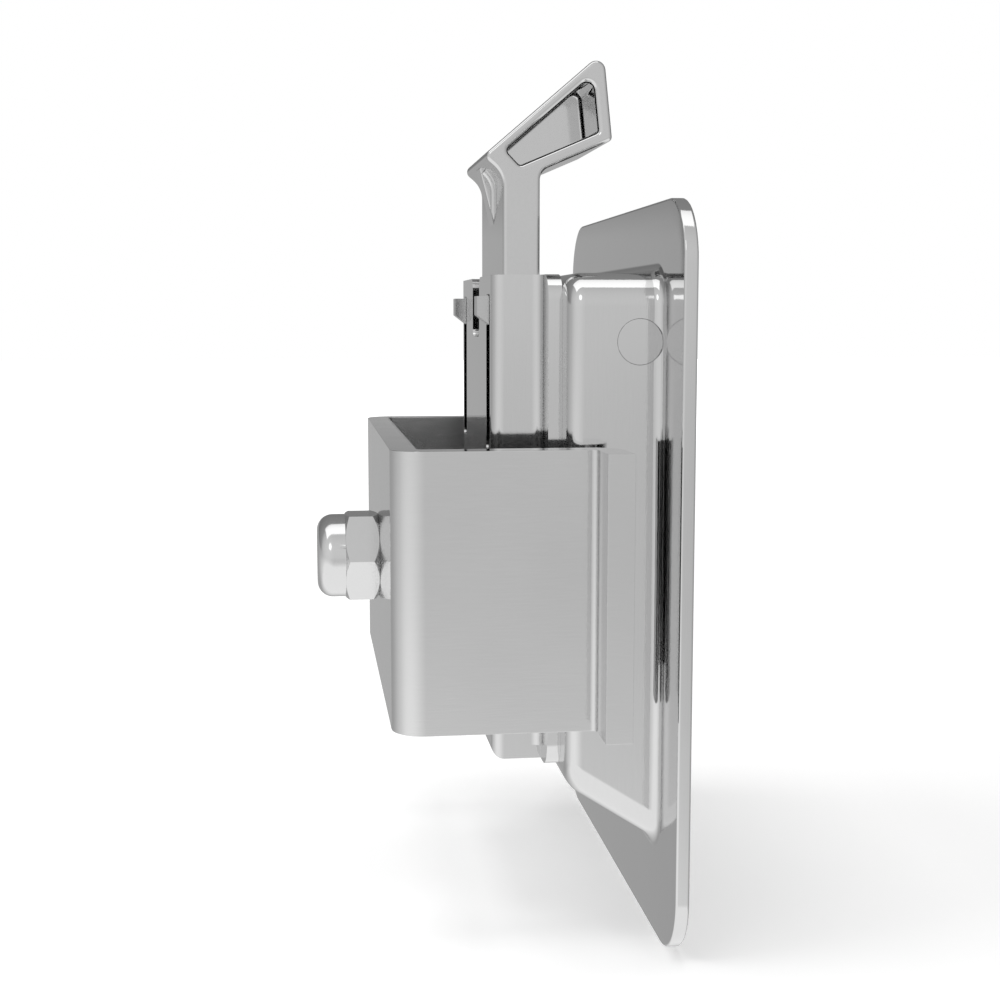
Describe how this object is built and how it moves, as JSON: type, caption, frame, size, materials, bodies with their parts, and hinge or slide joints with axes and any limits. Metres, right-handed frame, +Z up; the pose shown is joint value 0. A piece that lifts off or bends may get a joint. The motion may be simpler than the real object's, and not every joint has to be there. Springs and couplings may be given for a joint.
{
  "type": "paddle latch",
  "caption": "Flush paddle latch for a door panel: dished faceplate, hinged paddle, sprung wedge bolt in a guide, and a clamp bracket on a stud with a domed nut",
  "frame": {"origin": "centre of the faceplate's rear face, which lies on the outside of the panel, in the middle of the panel's cutout", "axes": "+Z up along the latch's height, +Y into the door, away from the faceplate, X across the width; mirror-symmetric about X = 0 except for the paddle's return spring; the paddle is shut and the bolt is out"},
  "size_m": [0.0886, 0.0502, 0.1262],
  "materials": {
    "polished_steel": "stainless steel, electropolished, faint rolling grain",
    "plain_steel": "stainless steel, plain machined or rolled",
    "spring_steel": "drawn stainless spring wire",
    "bolt_steel": "cast stainless steel, tumbled and polished",
    "bracket_steel": "stainless strip, polished",
    "nut_steel": "stainless steel, bright turned",
    "bush_plastic": "moulded acetal",
    "ring_nylon": "nylon",
    "buffer_rubber": "moulded rubber"
  },
  "bodies": {
    "housing": {"dish_housing": "polished_steel", "pivot_pin": "polished_steel", "paddle_spring": "spring_steel", "bolt_guide": "polished_steel", "left_spring": "spring_steel", "right_spring": "spring_steel", "left_spring_rod": "plain_steel", "right_spring_rod": "plain_steel", "clamp_stud": "plain_steel"},
    "paddle": {"paddle": "polished_steel", "trip_lever": "plain_steel", "lever_rivets": "plain_steel", "left_bush": "bush_plastic", "right_bush": "bush_plastic", "stop_buffers": "buffer_rubber"},
    "bolt": {"bolt": "bolt_steel", "bolt_carriage": "plain_steel", "carriage_pins": "plain_steel"},
    "bracket": {"clamp_bracket": "bracket_steel"},
    "nut": {"cap_nut": "nut_steel", "nut_ring": "ring_nylon"}
  },
  "joints": [
    {"name": "paddle_pull", "type": "hinge", "parent": "housing", "child": "paddle", "pos_m": [0, 0.0034, 0.0331], "axis": [-1, 0, 0], "range_deg": [0, 55], "stiffness_Nm_per_rad": 0.17, "springref_deg": -42.97, "deforming": ["paddle_spring"]},
    {"name": "bolt_slide", "type": "slide", "parent": "housing", "child": "bolt", "axis": [0, 0, -1], "range_m": [0, 0.0127], "deforming": ["left_spring", "right_spring"]},
    {"name": "clamp_slide", "type": "slide", "parent": "housing", "child": "bracket", "axis": [0, -1, 0], "range_m": [-0.001, 0.0036]},
    {"name": "nut_turn", "type": "hinge", "parent": "bracket", "child": "nut", "pos_m": [0, 0.03818, -0.00055], "axis": [0, -1, 0], "range_deg": [-288, 1036.8]}
  ],
  "couplings": [
    {"joint": "bolt_slide", "follows": "paddle_pull", "m_per_rad": 0.01323},
    {"joint": "nut_turn", "follows": "clamp_slide", "rad_per_m": 5026.5}
  ]
}
